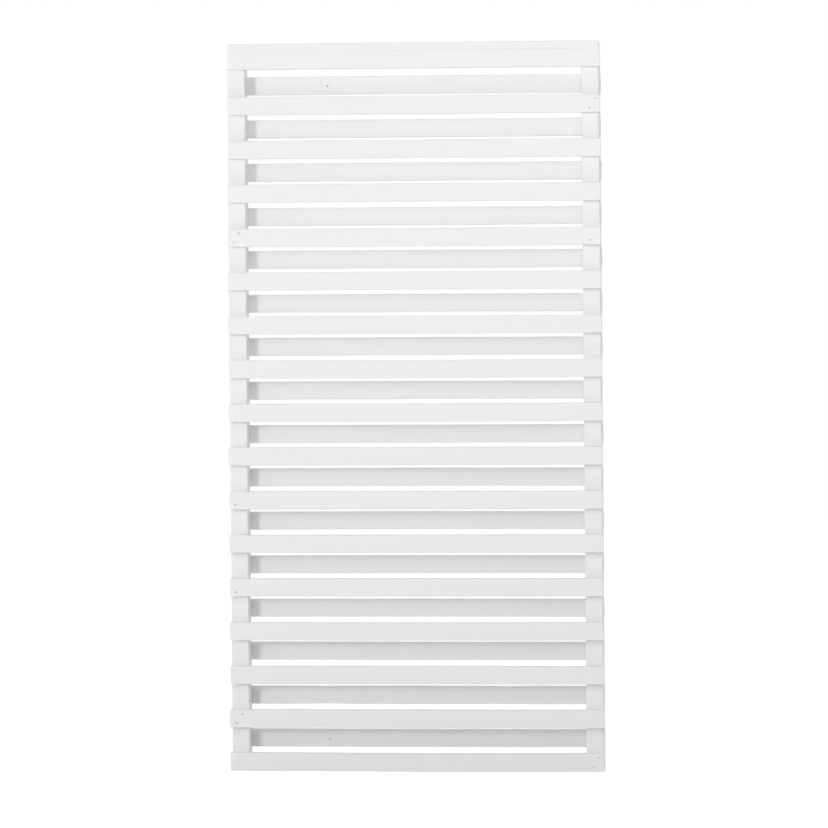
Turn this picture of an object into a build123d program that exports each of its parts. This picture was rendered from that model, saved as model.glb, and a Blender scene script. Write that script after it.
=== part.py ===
from build123d import *
import os

# A garden fence panel of planed timber, painted white. Slats lie across two posts and are nailed
# to them from the front and from the back. The back slats stand behind the gaps of the front
# row, so the panel screens the view and still lets air through. A flat top board covers the post
# ends and both rows. Nothing on it moves.
# Sizes are in millimetres. X runs along the slats, the front faces -Y and +Z is up. The origin
# is the middle of the base.

# The whole panel
panel_width = 900
front_slat_count = 17

# Slats, and the clear height above and below each back slat as seen from the front
slat_height = 43
slat_thickness = 21
slat_clearance = 9.5

# How far the top and the bottom front slat stand above the even spacing of the others
top_slat_lift = 4
bottom_slat_lift = 2

# Posts, one under each end of the slats
post_width = 42
post_depth = 42

# Top board
cap_thickness = 18

# Bevel that eases the long edges of every planed board
arris_bevel = 2

# Brads: nails of flat wire with a T head, driven a little below the surface of the wood. They
# reach into the timber behind by a share of the post's depth.
brad_width = 1.6
brad_thickness = 1.2
brad_head_width = 3
brad_head_height = 1
brad_sink = 0.8
brad_bite_share = 0.6

# Two brads hold each slat end, on a slant across the post. Their spread is a share of the post's
# width and their rise a share of the slat's height.
brad_spread_share = 0.32
brad_rise_share = 0.5

# Two brads hold the top board to each post, off its middle by a share of its depth, and a few
# more hold it to the edge of the top front slat.
cap_brad_share = 0.25
cap_edge_brad_count = 3

# How far a cut runs out past the surface
overrun = 1

# Places that follow from the sizes
slat_pitch = 2 * (slat_height + slat_clearance)
even_top_z = (front_slat_count - 1) * slat_pitch + slat_height / 2
post_height = even_top_z + slat_height / 2 + top_slat_lift
post_x = (panel_width - post_width) / 2
slat_y = (post_depth + slat_thickness) / 2
cap_depth = post_depth + 2 * slat_thickness
cap_top = post_height + cap_thickness
brad_bite = brad_bite_share * post_depth
sides = {"left": -post_x, "right": post_x}


def even_slat_z(row):
    """Height of the middle of a front slat by the even spacing alone. Row 0 is the top one."""
    return even_top_z - row * slat_pitch


def front_slat_z(row):
    """Height of the middle of a front slat, with the lift of the top and the bottom one."""
    lifts = {0: top_slat_lift, front_slat_count - 1: bottom_slat_lift}
    return even_slat_z(row) + lifts.get(row, 0)


def back_slat_z(row):
    """Height of the middle of a back slat, halfway between two even places of the front row."""
    return even_slat_z(row) - slat_pitch / 2


def planed_section(width, height):
    """The section of a planed board, with its four corners eased."""
    return chamfer(Rectangle(width, height).vertices(), arris_bevel)


def board(length, depth, height):
    """A planed board along X, centred on the origin."""
    return extrude(Plane.YZ * planed_section(depth, height), length / 2, both=True)


def brad(board_thickness, run_out=0):
    """A brad driven down from the origin, which lies on the upper face of the board it holds.
    Run out past that face, the same shape is the cut for the brad and its sunk head."""
    reach = board_thickness + brad_bite
    head_top = run_out if run_out else -brad_sink
    head_foot = -brad_sink - brad_head_height
    head = Pos(0, 0, (head_top + head_foot) / 2) * Box(
        brad_head_width, brad_thickness, head_top - head_foot
    )
    wire = Pos(0, 0, (head_foot - reach) / 2) * Box(
        brad_width, brad_thickness, reach + head_foot
    )
    return head + wire


def slat_end_places(post_middle, lean):
    """The X and the height above the slat's middle of the two brads at one slat end. A lean of 1
    slants them up to the right as seen from the front, and -1 up to the left."""
    spread = brad_spread_share * post_width / 2
    rise = brad_rise_share * slat_height / 2
    return [(post_middle + end * lean * spread, end * rise) for end in (-1, 1)]


def slat_brads(side, row_z, facing, run_out=0):
    """The two brads at one end of a slat, or their cuts. Facing is -1 for a front slat, whose
    brads go in from the front, and 1 for a back slat."""
    outer_face = Rot(-90 * facing, 0, 0)
    return [
        Pos(x, facing * (slat_y + slat_thickness / 2), row_z + rise)
        * outer_face
        * brad(slat_thickness, run_out)
        for x, rise in slat_end_places(sides[side], -facing)
    ]


def cap_post_brads(side, run_out=0):
    """The two brads that hold the top board to one post, or their cuts."""
    return [
        Pos(sides[side], end * cap_brad_share * post_depth, cap_top) * brad(cap_thickness, run_out)
        for end in (-1, 1)
    ]


def cap_edge_brads(run_out=0):
    """The brads that hold the top board to the top front slat, evenly spaced along it."""
    spacing = panel_width / (cap_edge_brad_count + 1)
    first_x = -panel_width / 2 + spacing
    return [
        Pos(first_x + number * spacing, -slat_y, cap_top) * brad(cap_thickness, run_out)
        for number in range(cap_edge_brad_count)
    ]


def slat(row_z, facing):
    """A slat in its place, with the cuts for the brads at both its ends."""
    blank = Pos(0, facing * slat_y, row_z) * board(panel_width, slat_thickness, slat_height)
    return blank - [cut for side in sides for cut in slat_brads(side, row_z, facing, overrun)]


def post(side):
    """A post in its place, with the cuts for every brad that reaches into it."""
    section = Pos(sides[side], 0) * planed_section(post_width, post_depth)
    cuts = cap_post_brads(side, overrun)
    for row_z in front_rows:
        cuts += slat_brads(side, row_z, -1, overrun)
    for row_z in back_rows:
        cuts += slat_brads(side, row_z, 1, overrun)
    return extrude(section, post_height) - cuts


def cap():
    """The top board, as deep as the posts with a slat on each face."""
    blank = Pos(0, 0, post_height + cap_thickness / 2) * board(
        panel_width, cap_depth, cap_thickness
    )
    cuts = cap_edge_brads(overrun)
    for side in sides:
        cuts += cap_post_brads(side, overrun)
    return blank - cuts


front_rows = [front_slat_z(row) for row in range(front_slat_count)]
back_rows = [back_slat_z(row) for row in range(front_slat_count - 1)]

parts = {"cap": cap()}
for number, row_z in enumerate(front_rows, 1):
    parts[f"front_slat_{number:02d}"] = slat(row_z, -1)
for number, row_z in enumerate(back_rows, 1):
    parts[f"back_slat_{number:02d}"] = slat(row_z, 1)

# The top board's edge brads go on into the top front slat
parts["front_slat_01"] -= cap_edge_brads(overrun)

for side in sides:
    parts[f"post_{side}"] = post(side)
    front_brads = [nail for row_z in front_rows for nail in slat_brads(side, row_z, -1)]
    back_brads = [nail for row_z in back_rows for nail in slat_brads(side, row_z, 1)]
    parts[f"front_brads_{side}"] = Compound(front_brads)
    parts[f"back_brads_{side}"] = Compound(back_brads)

cap_brads = cap_edge_brads()
for side in sides:
    cap_brads += cap_post_brads(side)
parts["cap_brads"] = Compound(cap_brads)

os.makedirs("parts", exist_ok=True)
for name, shape in parts.items():
    shape.label = name
    export_step(shape, f"parts/{name}.step")
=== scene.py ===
import bpy
import numpy as np
from math import radians
from mathutils import Euler, Matrix, Vector


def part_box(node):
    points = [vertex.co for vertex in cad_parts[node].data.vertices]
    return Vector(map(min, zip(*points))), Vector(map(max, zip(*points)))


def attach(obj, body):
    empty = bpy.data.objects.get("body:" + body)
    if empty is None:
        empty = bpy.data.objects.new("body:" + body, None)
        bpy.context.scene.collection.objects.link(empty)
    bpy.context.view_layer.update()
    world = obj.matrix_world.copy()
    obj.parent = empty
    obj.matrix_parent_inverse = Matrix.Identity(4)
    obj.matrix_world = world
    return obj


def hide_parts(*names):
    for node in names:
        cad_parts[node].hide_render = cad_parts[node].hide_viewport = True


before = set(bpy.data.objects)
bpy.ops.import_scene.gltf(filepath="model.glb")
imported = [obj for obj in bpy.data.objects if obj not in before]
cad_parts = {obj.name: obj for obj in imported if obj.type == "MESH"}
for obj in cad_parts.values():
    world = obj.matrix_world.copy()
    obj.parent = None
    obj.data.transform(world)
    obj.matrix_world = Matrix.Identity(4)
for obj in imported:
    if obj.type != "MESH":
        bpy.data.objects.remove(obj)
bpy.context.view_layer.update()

# Front slats: planed softwood boards, sawn off at the ends and nailed across the posts from the
# front. They were brushed white after nailing, so the grain and a few open brad holes still show
# in the paint.
arris = 0.0016
end_arris = 0.0008
rng = np.random.default_rng(33)

# The four sides of a board's section, in turn
front, top, back, bottom = range(4)

# How closely the mesh follows a board: along its length, across its sides and round its corners
board_step = 0.010
face_step = 0.0045
arc_steps = 5

# Extra places of the mesh beside a hollow, in half sizes of it, and how far off the even ones stay
hollow_rings = np.array([0.3, 0.75, 1.0, 1.35, 1.9])
near_hollow = np.concatenate([-hollow_rings[::-1], hollow_rings])
clear_of_hollow = 1.3 * near_hollow.max()


def places(low, high, step, marks, halves):
    """Even places from low to high about a step apart, with closer ones, mark + half x near,
    round each mark. Even places inside such a bunch are left out, apart from the two ends."""
    even = np.linspace(low, high, max(2, round((high - low) / step) + 1))
    if not len(marks):
        return even
    clear = (np.abs(even[:, None] - marks) > clear_of_hollow * halves).all(axis=1)
    clear[[0, -1]] = True
    bunches = (marks[:, None] + halves[:, None] * near_hollow).ravel()
    bunches = bunches[(bunches > low) & (bunches < high)]
    return np.unique(np.concatenate([even[clear], bunches]))


def side_axes(side):
    """Which way a side of the section faces, at the angle pi - side x pi/2, and which way it
    runs, a quarter turn clockwise of that."""
    angle = np.pi - side * np.pi / 2
    return np.array([np.cos(angle), np.sin(angle)]), np.array([np.sin(angle), -np.cos(angle)])


def section(depth, height, arris, hollows):
    """The outline of a board's section: four flats joined by quarter circles. A point is
    facing x half size + running x place, and in a corner, centre + arris x (cos, sin). Returns
    each point, the way it faces and whether it lies in a corner."""
    points, facings, corners = [], [], []
    turns = np.linspace(0, np.pi / 2, arc_steps + 1)[1:-1]
    for side in (front, top, back, bottom):
        facing, running = side_axes(side)
        out, along = (depth, height) if side in (front, back) else (height, depth)
        half = along / 2 - arris
        own = hollows[hollows[:, 0] == side]
        run = places(-half, half, face_step, own[:, 2], own[:, 4])
        run = np.unique(np.concatenate([run, [-half + arris / 2, half - arris / 2]]))
        points.append(facing * out / 2 + running * run[:, None])
        facings.append(np.tile(facing, (len(run), 1)))
        corners.append(np.zeros(len(run), bool))
        round_facing = facing * np.cos(turns[:, None]) + running * np.sin(turns[:, None])
        centre = facing * (out / 2 - arris) + running * half
        points.append(centre + arris * round_facing)
        facings.append(round_facing)
        corners.append(np.ones(len(turns), bool))
    return tuple(np.concatenate(part) for part in (points, facings, corners))


# The sizes of the smaller outlines that close a sawn end, as shares of the whole
sawn_rings = np.array([0.97, 0.7, 0.4])


def blank(length, depth, height, arris, end_arris, hollows):
    """A straight board along X with its middle at the origin: its section carried along the
    length. In the last bit before each end it shrinks by end_arris x (1 - cos) as the length
    grows by end_arris x sin, and the sawn end closes over smaller copies of it. Returns the x, y
    and z of its points, with a row for each place along it and a column for each point of the
    section, the way each column faces, whether it lies in a corner, and how far each point has
    come round onto the sawn end, from 0 to 1."""
    points, facings, corners = section(depth, height, arris, hollows)
    half = length / 2 - end_arris
    xs = places(-half, half, board_step, hollows[:, 1], hollows[:, 3])
    turns = np.linspace(0, np.pi / 2, arc_steps)[1:]
    on_end = np.ones(len(sawn_rings))
    end_x = np.concatenate([half + end_arris * np.sin(turns), on_end * length / 2])
    end_inset = np.concatenate([end_arris * (1 - np.cos(turns)), on_end * end_arris])
    end_scale = np.concatenate([np.ones(len(turns)), sawn_rings])
    x = np.concatenate([-end_x[::-1], xs, end_x])[:, None]
    inset = np.concatenate([end_inset[::-1], np.zeros(len(xs)), end_inset])[:, None]
    scale = np.concatenate([end_scale[::-1], np.ones(len(xs)), end_scale])[:, None]
    y = (points[:, 0] - facings[:, 0] * inset) * scale
    z = (points[:, 1] - facings[:, 1] * inset) * scale
    x, sawn = (np.broadcast_to(column, y.shape) for column in (x, inset / end_arris))
    return x, y, z, facings, corners, sawn


# A hollow in a board's skin is (side, x, run, half length, half width, depth), with x from the
# board's middle and the run along its side. Its wall rises over a width up to its reach, and a rim
# stands up beyond by a share of its depth, all in half sizes from its middle.
hollow_reach, wall_width = 1.25, 0.6
rim_away, rim_width, rim_share = 1.5, 0.4, 0.12

# A hollow this deep is a knot hole that the paint didn't fill. Its wall is coloured as bare wood, greyed
# further as painted shade, and it has no rim.
knot_hole = 0.004


def hollowed(x, y, z, facings, depth, height, hollows):
    """Sinks the skin in each hollow by depth x (3 w^2 - 2 w^3), w falling from 1 to 0 across its
    wall, and raises the rim by a bell curve. Returns the new y and z, and where the wood is
    bare, which its colour also darkens as painted shade."""
    bare_wood_and_shade = np.zeros(y.shape)
    for side, hollow_x, run, half_length, half_width, sunk in hollows:
        facing, running = side_axes(side)
        out = depth if side in (front, back) else height
        hollow_y, hollow_z = facing * out / 2 + running * run
        across = np.hypot(y - hollow_y, z - hollow_z) / half_width
        away = np.hypot((x - hollow_x) / half_length, across)
        wall = np.clip((hollow_reach - away) / wall_width, 0, 1)
        rim = rim_share * np.exp(-(((away - rim_away) / rim_width) ** 2))
        sink = sunk * (wall * wall * (3 - 2 * wall) - rim * (sunk < knot_hole))
        # Deep hollows are marked bare: unpainted wood whose colour also carries painted shade for the hole
        bare_wood_and_shade = np.maximum(bare_wood_and_shade, wall * (sunk >= knot_hole))
        y = y - facings[:, 0] * sink
        z = z - facings[:, 1] * sink
    return y, z, bare_wood_and_shade


# The usual size of a board's bow and sweep, of the waves along its edges and of the slope of its
# ends. There are so many slow waves to a board, with a share of quick ones on them, and so many
# half waves across a ragged end. A high power keeps what happens at the ends there.
bow_size, sweep_size, wave_size, slope_size = 0.0006, 0.0003, 0.00028, 0.005
slow_waves, quick_waves, quick_share = 2.3, 6.1, 0.6
ragged_half_waves, ragged_size = 3.4, 0.0003
end_power = 8


def bent(x, y, z, length, depth, height, warp, cant, lean):
    """Bends a straight board: up by bow x (1 - (2 x / length)^2) and out likewise, its edges by
    two sines along it, its ends by a slope and a sine across them, all but the last times warp.
    The far end is cant x (y / depth + 1/2) shorter, and the board leans by
    lean x (x / length)."""
    sizes = [bow_size, sweep_size, wave_size, slope_size]
    bow, sweep, wave, slope = warp * rng.normal(size=4) * sizes
    phase, ripple = rng.uniform(0, 2 * np.pi, 2)
    share = 2 * x / length
    edge = z / height
    slow = np.sin(slow_waves * np.pi * share + phase)
    quick = quick_share * np.sin(quick_waves * np.pi * share + ripple)
    ragged = ragged_size * np.sin(ragged_half_waves * np.pi * edge + ripple)
    x_bent = x + (slope * z + ragged) * np.abs(share) ** end_power
    x_bent = x_bent - cant * (y / depth + 1 / 2) * np.clip(share, 0, 1) ** end_power
    y_bent = y + sweep * (1 - share**2)
    z_bent = z + lean * share / 2 + bow * (1 - share**2) + wave * edge * (slow + quick)
    return x_bent, y_bent, z_bent


def ring_quads(rows, columns):
    """The faces that join rings of points, numbered ring after ring, each to the next."""
    row, column = np.meshgrid(np.arange(rows - 1), np.arange(columns), indexing="ij")
    after = (column + 1) % columns
    near, far = row * columns, (row + 1) * columns
    quads = np.stack([near + column, far + column, far + after, near + after], axis=2)
    return quads.reshape(-1, 4).tolist()


def linked(name, data):
    """A new object in the scene that shows a mesh, or is a lamp or a camera."""
    made = bpy.data.objects.new(name, data)
    bpy.context.scene.collection.objects.link(made)
    return made


def keep_timber(mesh, timber):
    """Gives a mesh its points' places in the timber, which its paint reads."""
    attribute = mesh.attributes.new("timber", "FLOAT_VECTOR", "POINT")
    attribute.data.foreach_set("vector", timber.astype(np.float32).ravel())


# How far a board's pith may lie from its middle, and the length of all the timber in a row, in
# which each board has a place of its own
pith_away = (0.02, 0.07)
timber_length = 40


def board(
    name, low, high, along, hollows=(), arris=arris, end_arris=end_arris, cant=0.0, lean=0.0,
    warp=1.0, pith=None,
):
    """A planed board that fills the box from low to high, its length along X or Z: a blank with
    its hollows, then bent. A fan of triangles closes each sawn end. Its points carry their place
    in the straight timber, from the pith, and how far they are sawn, eased, and bare with painted shade."""
    low, high = np.array(low), np.array(high)
    middle, size = (low + high) / 2, high - low
    length, depth, height = size if along == "X" else size[[2, 1, 0]]
    hollows = np.array(hollows).reshape(-1, 6)
    x, y, z, facings, corners, sawn = blank(length, depth, height, arris, end_arris, hollows)
    y, z, bare_wood_and_shade = hollowed(x, y, z, facings, depth, height, hollows)
    warped = bent(x, y, z, length, depth, height, warp, cant, lean)

    tips = np.array([[-length / 2, 0, 0], [length / 2, 0, 0]])
    straight, verts = (
        np.concatenate([np.stack(grid, axis=2).reshape(-1, 3), tips])
        for grid in ((x, y, z), warped)
    )
    if along == "Z":
        verts = verts[:, [2, 1, 0]] * [-1, 1, 1]
    rows, columns = x.shape
    ring = np.arange(columns)
    after = (ring + 1) % columns
    first_tip = np.full(columns, rows * columns)
    last = (rows - 1) * columns
    first_fan = np.stack([first_tip, ring, after], axis=1)
    last_fan = np.stack([first_tip + 1, last + after, last + ring], axis=1)
    faces = ring_quads(rows, columns) + first_fan.tolist() + last_fan.tolist()
    mesh = bpy.data.meshes.new(name)
    mesh.from_pydata((verts + middle).tolist(), [], faces)
    mesh.polygons.foreach_set("use_smooth", np.ones(len(faces), bool))

    if pith is None:
        away, angle = rng.uniform(*pith_away), rng.uniform(0, 2 * np.pi)
        pith = (away * np.cos(angle), away * np.sin(angle))
    keep_timber(mesh, straight + [rng.uniform(0, timber_length), *pith])
    eased = np.maximum(np.broadcast_to(corners, x.shape), (sawn > 0) & (sawn < 1))
    for label, level in (("sawn", sawn), ("eased", eased), ("bare_wood_and_shade", bare_wood_and_shade)):
        level = np.concatenate([level.ravel(), [label == "sawn"] * 2]).astype(np.float32)
        mesh.attributes.new(label, "FLOAT", "POINT").data.foreach_set("value", level)
    return linked(name, mesh)


class Value:
    """One output of a finish's nodes. Sums, products and powers of values add Math nodes."""

    def __init__(self, finish, socket):
        self.finish = finish
        self.socket = socket

    def math(self, operation, first, second):
        return self.finish.node("Math", {"operation": operation}, {0: first, 1: second})

    def __add__(self, other):
        return self.math("ADD", self, other)

    def __sub__(self, other):
        return self.math("SUBTRACT", self, other)

    def __rsub__(self, other):
        return self.math("SUBTRACT", other, self)

    def __mul__(self, other):
        return self.math("MULTIPLY", self, other)

    def __pow__(self, other):
        return self.math("POWER", self, other)

    __radd__ = __add__
    __rmul__ = __mul__


class Finish:
    """The nodes of a material or of the world, added one by one and joined through their values."""

    def __init__(self, owner):
        owner.use_nodes = True
        self.tree = owner.node_tree
        self.tree.nodes.clear()

    def node(self, kind, settings, sockets, out=None):
        """Adds a node of that kind with its settings, then feeds its sockets, each named or
        numbered, with a value or a link. Returns the output named out, or the first in use."""
        made = self.tree.nodes.new("ShaderNode" + kind)
        for name, value in settings.items():
            setattr(made, name, value)
        for name, value in sockets.items():
            if isinstance(name, int):
                socket = made.inputs[name]
            else:
                socket = next(s for s in made.inputs if s.enabled and s.name == name)
            if isinstance(value, Value):
                self.tree.links.new(value.socket, socket)
            else:
                socket.default_value = value
        if not made.outputs:
            return None
        return Value(self, next(s for s in made.outputs if s.enabled and out in (None, s.name)))

    def mixed(self, share, first, second):
        """A colour that goes from the first to the second as the share goes from 0 to 1."""
        return self.node("Mix", {"data_type": "RGBA"}, {"Factor": share, "A": first, "B": second})

    def ramp(self, value, source, target, kind="SMOOTHSTEP"):
        """Takes a value from the source range into the target range, whose ends it doesn't pass.
        It eases in and out, unless its kind is LINEAR."""
        names = ("From Min", "From Max", "To Min", "To Max")
        sockets = {"Value": value, **dict(zip(names, source + target))}
        return self.node("MapRange", {"interpolation_type": kind}, sockets)


def painted_timber(name, paint_colour, thin_colour, stain_colour, bare_wood_and_shade_colour):
    """White paint brushed over planed softwood. The year rings are even shells round the pith,
    frac(distance / ring_gap), pushed aside by knots, and stand up a little through the paint.
    Brush marks are noise drawn out along the board. Where a piece is bare, greyed wood shows: bare wood
    and painted shade in the hole."""
    material = bpy.data.materials.new(name)
    paint = Finish(material)
    timber = paint.node("Attribute", {"attribute_name": "timber"}, {}, "Vector")
    sawn, eased, bare_wood_and_shade = (
        paint.node("Attribute", {"attribute_name": label}, {}, "Fac")
        for label in ("sawn", "eased", "bare_wood_and_shade")
    )

    def scaled(along, across):
        stretch = {0: timber, 1: (along, across, across)}
        return paint.node("VectorMath", {"operation": "MULTIPLY"}, stretch)

    def noise(vector, scale, detail=2.0, out="Fac"):
        grain = {"Vector": vector, "Scale": scale, "Detail": detail}
        return paint.node("TexNoise", {}, grain, out)

    # Knots: the timber has about six places for one in a metre, and a third of them have it. The
    # rings part round a knot in a halo. Distances are in sixths of a metre.
    knot_places = 6.0
    knot_edge = (0.022, 0.040)
    halo_edge = (0.03, 0.16)
    knot_draws = (0.60, 0.66)
    halo_push = 2.2
    along = paint.node("SeparateXYZ", {}, {"Vector": timber}, "X")
    up = paint.node("SeparateXYZ", {}, {"Vector": timber}, "Z")
    flat = paint.node("CombineXYZ", {}, {"X": along, "Y": up})
    knot_away, knot_draw = (
        paint.node("TexVoronoi", {"voronoi_dimensions": "2D"}, {"Vector": flat, "Scale": knot_places}, out)
        for out in ("Distance", "Color")
    )
    draw = paint.node("SeparateColor", {}, {"Color": knot_draw}, "Red")
    drawn = paint.ramp(draw, knot_draws, (0.0, 1.0))
    knot = paint.ramp(knot_away, knot_edge, (1.0, 0.0)) * drawn
    halo = paint.ramp(knot_away, halo_edge, (1.0, 0.0)) * drawn

    # Year rings: the pith wanders a little along the board. Each ring rises to a crest, late wood
    # stands higher than early wood, and its strength comes and goes.
    ring_gap = 0.0032
    pith_wander = 0.03
    crest_power = 2.5
    least_ring = 0.35
    wander = noise(scaled(1.0, 5.0), 1.4, 1.0, "Color")
    sideways = {0: wander, 1: (0.0, pith_wander, pith_wander), 2: timber}
    bent = paint.node("VectorMath", {"operation": "MULTIPLY_ADD"}, sideways)
    shell = paint.node("VectorMath", {"operation": "MULTIPLY"}, {0: bent, 1: (0.0, 1.0, 1.0)})
    from_pith = paint.node("VectorMath", {"operation": "LENGTH"}, {0: shell}, "Value")
    year = from_pith * (1 / ring_gap) + halo * halo_push
    ring = paint.node("Math", {"operation": "FRACT"}, {0: year}) ** crest_power
    ring = ring * (least_ring + (1 - least_ring) * noise(scaled(0.6, 4.0), 3.0))

    # Marks along and across a board, in cells to the metre
    fibre = noise(scaled(14.0, 900.0), 1.0, 2.0)
    brush = noise(scaled(3.0, 420.0), 1.0, 3.0)
    saw = noise(scaled(200.0, 260.0), 1.0, 2.0)

    # The share of each in the relief of the paint, more of it on sawn ends
    relief = 0.00009
    height = ring * 0.55 + fibre * 0.25 + brush * 0.45 + knot * 0.5
    height = height + sawn * (saw * 1.6 + ring * 0.8)
    normal = paint.node("Bump", {}, {"Strength": 1.0, "Distance": relief, "Height": height})

    # Where the paint is thin: on eased edges, ring crests, between brush marks and on sawn ends
    thin = eased * 0.30 + ring * 0.10 + (brush - 0.5) * 0.25 + sawn * 0.30
    thin = paint.node("Math", {"operation": "MAXIMUM", "use_clamp": True}, {0: thin, 1: 0.0})
    colour = paint.mixed(thin, paint_colour, thin_colour)
    colour = paint.mixed(knot * 0.25, colour, stain_colour)
    # Knot holes take a greyed wood colour: bare wood, with painted shade standing in for the shade inside
    # the hole
    colour = paint.mixed(bare_wood_and_shade, colour, bare_wood_and_shade_colour)
    roughness = 0.40 + brush * 0.12 + sawn * 0.15 - knot * 0.08
    look = {"Base Color": colour, "Roughness": roughness, "Normal": normal}
    paint.node("OutputMaterial", {}, {"Surface": paint.node("BsdfPrincipled", {}, look)})
    return material


white_paint = painted_timber(
    "white_paint_on_softwood",
    paint_colour=(0.865, 0.865, 0.865, 1),
    thin_colour=(0.825, 0.820, 0.810, 1),
    stain_colour=(0.790, 0.775, 0.750, 1),
    # Bare wood in knot holes, greyed as painted shade
    bare_wood_and_shade_colour=(0.68, 0.65, 0.61, 1),
)


def dress(piece, node):
    """Gives a board its paint and sets it on the body in place of its CAD node."""
    piece.data.materials.append(white_paint)
    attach(piece, "root")
    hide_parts(node)


# The posts' middles and the slant of the two brads at each joint, as in the CAD model
brad_head_width = 0.003
brad_rise_share = 0.5
post_low, post_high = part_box("post_left")
post_middle = (post_high.x + post_low.x) / 2
brad_low, brad_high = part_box("front_brads_left")
spread = (brad_high.x - brad_low.x - brad_head_width) / 2
slat_low, slat_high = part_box("front_slat_01")
slat_height = slat_high.z - slat_low.z
rise = brad_rise_share * slat_height / 2

# Brad holes: half their length and width and their depth, where the paint left them open and where
# it filled them
open_hole = (0.0029, 0.0018, 0.0018)
filled_hole = (0.0021, 0.0013, 0.00022)


def slat_holes(side, place, opened=()):
    """The four brad holes of a slat on its front or back side, set back by the slat's own place
    along and up, so that they stay over the brads. Those numbered as opened from the left are
    deep."""
    lean = 1 if side == front else -1
    _, running = side_axes(side)
    holes = []
    for end in (-1, 1):
        for corner in (-1, 1):
            x = end * abs(post_middle) + corner * spread - place[0]
            up = corner * lean * rise - place[2]
            shape = open_hole if len(holes) in opened else filled_hole
            holes.append((side, x, running[1] * up, *shape))
    return holes


# Joints whose brad holes the paint left open: slat number, then the brads from the left
open_holes = {2: (2, 3), 5: (0, 1, 2), 11: (0,), 13: (0,), 16: (0, 1), 17: (2, 3)}

# Knocks: a dent in the lower edge of slat 15, and corners split off three slats at the left
slat_foot = slat_height / 2
front_knocks = {
    15: [
        (front, 0.139, -slat_foot, 0.0040, 0.0030, 0.0012),
        (bottom, -0.449, 0.0, 0.0050, 0.020, 0.0022),
    ],
    14: [(bottom, -0.449, 0.0, 0.0060, 0.020, 0.0024)],
    5: [(bottom, -0.449, 0.0, 0.0040, 0.020, 0.0016)],
}

# How far the slat ends stand in from the full width at the top and at the foot of the panel, left
# and right, how far each strays from that, and how far a slat strays out and up
left_top_in, left_foot_in = 0.0022, -0.0022
right_top_in, right_foot_in = 0.0028, -0.0011
front_end_stray = 0.0006
slat_stray = (0, 0.0001, 0.0005)

# How much shorter the right end of the top slat is sawn at its back. It fades out down the panel.
slat_cant = 0.0015

# The top slat is held straight and in its place by the top board
front_slats = sorted(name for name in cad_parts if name.startswith("front_slat"))
for number, node in enumerate(front_slats, 1):
    low, high = (np.array(corner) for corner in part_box(node))
    down = (number - 1) / (len(front_slats) - 1)
    low[0] += left_top_in + down * (left_foot_in - left_top_in) + rng.normal() * front_end_stray
    high[0] -= right_top_in + down * (right_foot_in - right_top_in) + rng.normal() * front_end_stray
    warp = 0.0 if number == 1 else 1.0
    place = warp * rng.normal(size=3) * slat_stray
    place[0] = (low[0] + high[0]) / 2
    nudge = place * [0, 1, 1]
    hollows = slat_holes(front, place, open_holes.get(number, ())) + front_knocks.get(number, [])
    cant = slat_cant * (1 - down)
    piece = board(node + "_board", low + nudge, high + nudge, "X", hollows, cant=cant, warp=warp)
    dress(piece, node)

# Back slats: the same boards, nailed on from behind so that each stands behind a gap of the front
# row. At the right they end about level with the post's outer side. Their brad holes are all
# filled with paint. Two have a small knot hole, and the lowest is split at its lower edge.
back_top_in, back_foot_in = 0.0068, 0.0036
back_end_stray = 0.0005
back_knocks = {
    1: [(front, -0.2107, -0.0015, 0.0024, 0.0020, 0.0040)],
    16: [
        (front, -0.2171, -0.0032, 0.0028, 0.0021, 0.0040),
        (front, -0.3506, -0.0190, 0.0009, 0.0060, 0.0016),
    ],
}

# How far they hang below their even places, three of them otherwise than the rest
back_drop = 0.0004
back_drops = {1: 0.0020, 14: -0.0006, 16: -0.0007}

back_slats = sorted(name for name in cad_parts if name.startswith("back_slat"))
for number, node in enumerate(back_slats, 1):
    low, high = (np.array(corner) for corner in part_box(node))
    down = (number - 1) / (len(back_slats) - 1)
    low[0], high[0] = [low[0], high[0]] + rng.normal(size=2) * back_end_stray
    high[0] -= back_top_in + down * (back_foot_in - back_top_in)
    place = rng.normal(size=3) * slat_stray
    place[0] = (low[0] + high[0]) / 2
    place[2] -= back_drops.get(number, back_drop)
    nudge = place * [0, 1, 1]
    hollows = slat_holes(back, place) + back_knocks.get(number, [])
    dress(board(node + "_board", low + nudge, high + nudge, "X", hollows), node)

# Posts: square planed timber between the two rows of slats. The right one stands in a little from
# the slat ends and the left one out. Each was sawn from near the heart of a log, so its pith lies
# inside it.
post_arris = 0.0026
post_pith = 0.015

# How far each stands to the right of its place, and how far it leans to the left at its top
post_stands = {"post_left": (-0.0007, 0.0006), "post_right": (-0.0046, 0.0040)}
for node, (shift_x, lean) in post_stands.items():
    low, high = (np.array(corner) + [shift_x, 0, 0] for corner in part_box(node))
    pith = rng.uniform(-post_pith, post_pith, 2)
    piece = board(node + "_timber", low, high, "Z", arris=post_arris, lean=lean, pith=pith)
    dress(piece, node)

# Top board: a wide flat board over the post ends and both rows, nailed down through its face. Its
# right end is sawn out of square, and its upper front edge is nicked once.
cap_end_arris = 0.0014
cap_cant = 0.0062
cap_left_in, cap_right_in = 0.0028, 0.0048
cap_brad_share = 0.25
cap_low, cap_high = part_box("cap")
cap_top_edge = (cap_high.z - cap_low.z) / 2
nick = (front, 0.2295, cap_top_edge, 0.0030, 0.0035, 0.0009)

# Its brads: two down into each post and three, a quarter of the length apart, into the front slat
post_brad_y = cap_brad_share * (post_high.y - post_low.y)
slat_brad_y = (slat_low.y + slat_high.y) / 2
slat_brad_gap = (cap_high.x - cap_low.x) / 4
cap_brads = [(end * post_middle, side * post_brad_y) for end in (-1, 1) for side in (-1, 1)]
cap_brads += [(place * slat_brad_gap, slat_brad_y) for place in (-1, 0, 1)]

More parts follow.
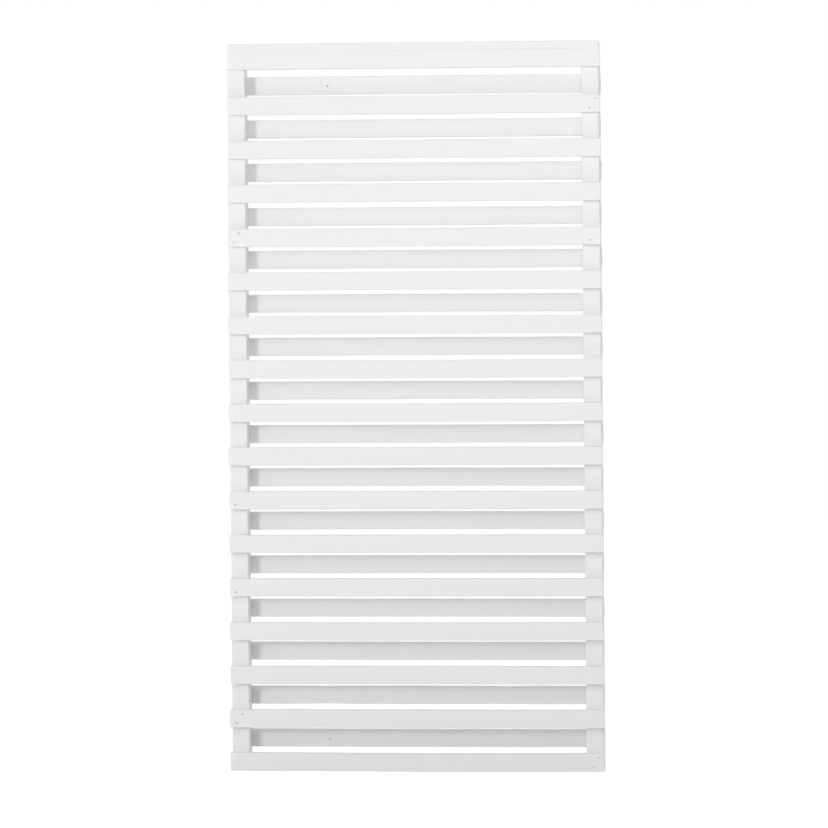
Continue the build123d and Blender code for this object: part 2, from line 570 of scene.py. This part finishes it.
# Hollows are placed from the board's own middle, which its uneven ends shift
cap_middle = (cap_left_in - cap_right_in) / 2
cap_hollows = [(top, x, y, *filled_hole) for x, y in cap_brads] + [nick]
cap_hollows = [(side, x - cap_middle, *rest) for side, x, *rest in cap_hollows]
low = cap_low + Vector((cap_left_in, 0, 0))
high = cap_high - Vector((cap_right_in, 0, 0))
piece = board(
    "cap_board", low, high, "X", cap_hollows, end_arris=cap_end_arris, cant=cap_cant, warp=0.0
)
dress(piece, "cap")

# Paint in the joint under the top board: it ran into the groove between the two eased edges, fills
# it at the left and leaves a narrow line open towards the right.
line_points = 200
open_from, open_over = -0.22, 0.35
closed_from, closed_over = 0.43, 0.02
x = np.linspace(slat_low.x + 2 * end_arris, slat_high.x - 2 * end_arris, line_points)
opening = np.clip((x - open_from) / open_over, 0, 1) * np.clip((closed_from - x) / closed_over, 0, 1)

# The paint's skin lies sunk in the groove, deeper and wavier where it is open. At that depth the
# groove is 2 x (arris - sqrt(arris^2 - (arris - sunk)^2)) high, and the skin reaches a little into
# the wood above and below. Its middle hangs in, and behind it the paint narrows to its root.
skin_sunk, open_sunk = 0.0001, 0.00080
skin_overlap = 0.0001
skin_hang = 0.00008
root_half = np.full_like(x, 0.0004)
root_in = np.full_like(x, arris)

# Its waves: their size, and the angle that they run through in a metre
skin_waves = ((0.00012, 61), (0.00008, 173))
waves = sum(size * np.sin(turn * x) for size, turn in skin_waves)
sunk = skin_sunk + opening * (open_sunk + waves)
reach = arris - np.sqrt(arris**2 - (arris - sunk) ** 2) + skin_overlap
y_across = np.stack([root_in, root_in, sunk, sunk + skin_hang, sunk], axis=1)
z_across = np.stack([root_half, -root_half, -reach, 0 * x, reach], axis=1)
x_across = np.broadcast_to(x[:, None], y_across.shape)
verts = np.stack([x_across, slat_low.y + y_across, cap_low.z + z_across], axis=2).reshape(-1, 3)
rows, columns = y_across.shape
first_end = list(range(columns))
last_end = [(rows - 1) * columns + column for column in reversed(first_end)]
mesh = bpy.data.meshes.new("joint_paint")
mesh.from_pydata(verts.tolist(), [], ring_quads(rows, columns) + [first_end, last_end])

# It reads its brush marks from a place of its own, far from any pith
joint_timber = [7.3, 0.02, 0.0]
keep_timber(mesh, verts + joint_timber)
joint_paint = linked("joint_paint", mesh)
joint_paint.data.materials.append(white_paint)
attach(joint_paint, "root")

# Brads: galvanised flat wire with T heads. Where a hole stayed open the head shows at its foot,
# grey under a thin splash of the paint.
patch_scale = 900.0
bare_steel = (0.30, 0.28, 0.26, 1)
splashed_steel = (0.55, 0.53, 0.50, 1)
steel_material = bpy.data.materials.new("brad_steel_under_paint")
steel = Finish(steel_material)
place = steel.node("TexCoord", {}, {}, "Object")
patches = steel.node("TexNoise", {}, {"Vector": place, "Scale": patch_scale, "Detail": 2.0}, "Fac")
colour = steel.mixed(patches, bare_steel, splashed_steel)
roughness = 0.35 + patches * 0.3
look = {"Base Color": colour, "Metallic": 0.6, "Roughness": roughness}
steel.node("OutputMaterial", {}, {"Surface": steel.node("BsdfPrincipled", {}, look)})
for node in (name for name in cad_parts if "brads" in name):
    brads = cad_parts[node]
    brads.data.materials.clear()
    brads.data.materials.append(steel_material)

# Floor: a plain pale sheet. The camera, and mirrors and glass, see it white, with the panel's
# shadow kept.
floor_half = 12.0
floor_colour = (0.85, 0.85, 0.85, 1)
floor_white = 1.12
floor_white_share = 0.85
around = ((-1, -1), (1, -1), (1, 1), (-1, 1))
floor_mesh = bpy.data.meshes.new("floor")
floor_mesh.from_pydata([(x * floor_half, y * floor_half, 0) for x, y in around], [], [(0, 1, 2, 3)])
floor = linked("floor", floor_mesh)


def background_rays(finish):
    """1 for the rays that show the background: the camera's, and those mirrored or let through."""
    kinds = ("Is Camera Ray", "Is Glossy Ray", "Is Transmission Ray")
    camera, glossy, through = (finish.node("LightPath", {}, {}, kind) for kind in kinds)
    return camera + glossy + through


sheet_material = bpy.data.materials.new("pale_floor")
sheet = Finish(sheet_material)
matt = sheet.node("BsdfDiffuse", {}, {"Color": floor_colour})
white = sheet.node("Emission", {}, {"Color": (1, 1, 1, 1), "Strength": floor_white})
share = background_rays(sheet) * floor_white_share
seen = sheet.node("MixShader", {}, {0: share, 1: matt, 2: white})
sheet.node("OutputMaterial", {}, {"Surface": seen})
floor.data.materials.append(sheet_material)

# World: a white studio, brighter behind the panel than in front of it, a little brighter from
# above, and dimmed to the right of its back. The background is seen plain white.
front_level, back_level = 0.30, 1.0
dimmed_way, right_dimmed = (0.87, 0.5, 0), 0.32
top_extra = 0.22
studio = bpy.data.worlds.new("studio")
bpy.context.scene.world = studio
sky = Finish(studio)
ray = sky.node("TexCoord", {}, {}, "Generated")
ray_back = sky.node("SeparateXYZ", {}, {"Vector": ray}, "Y")
ray_up = sky.node("SeparateXYZ", {}, {"Vector": ray}, "Z")
ray_dimmed = sky.node("VectorMath", {"operation": "DOT_PRODUCT"}, {0: ray, 1: dimmed_way}, "Value")
level = sky.ramp(ray_back, (-0.3, 0.3), (front_level, back_level), "LINEAR")
level = level - sky.ramp(ray_dimmed, (0.2, 1.0), (0.0, right_dimmed))
level = level + sky.ramp(ray_up, (0.1, 1.0), (0.0, top_extra))
lit = sky.node("Background", {}, {"Color": (1, 1, 1, 1), "Strength": level})
backdrop = sky.node("Background", {}, {"Color": (1, 1, 1, 1)})
shown = sky.node("MixShader", {}, {0: background_rays(sky), 1: lit, 2: backdrop})
sky.node("OutputWorld", {}, {"Surface": shown})

# Lamps: two softboxes, a key from the front left and a weaker fill close in front. Each has a
# place, a point that it faces, a width and height, and its watts.
key = ((-3.2, -5.4, 1.72), (0, 0, 0.9), (1.1, 1.3), 101)
fill = ((0.7, -2.3, 1.9), (0.1, 0, 1.2), (1.6, 1.0), 14)


def softbox(name, place, aim, size, watts):
    """An upright lamp at a place, turned to face the aim point."""
    lamp = bpy.data.lights.new(name, "AREA")
    lamp.shape = "RECTANGLE"
    lamp.size, lamp.size_y = size
    lamp.energy = watts
    made = linked(name, lamp)
    made.location = place
    made.rotation_euler = (Vector(place) - Vector(aim)).to_track_quat("Z", "Y").to_euler()


softbox("key_softbox", *key)
softbox("fill_softbox", *fill)

# Camera: where the photograph was taken from, to the right of the panel, with a long lens that is
# shifted sideways. Its angles are in degrees: down from level, to the left, and rolled.
camera_place = (1.1796, -10.0, 1.10)
looks_down, looks_left, rolled = 1.398, 4.507, -0.316
lens = bpy.data.cameras.new("camera")
lens.sensor_width = 36
lens.lens = 182.18
lens.shift_x = -0.20
camera = linked("camera", lens)
camera.location = camera_place
turned = Euler((radians(90 - looks_down), 0, radians(looks_left))).to_matrix()
camera.rotation_euler = (turned @ Matrix.Rotation(radians(rolled), 3, "Z")).to_euler()
bpy.context.scene.camera = camera
bpy.context.scene.view_settings.view_transform = "Standard"
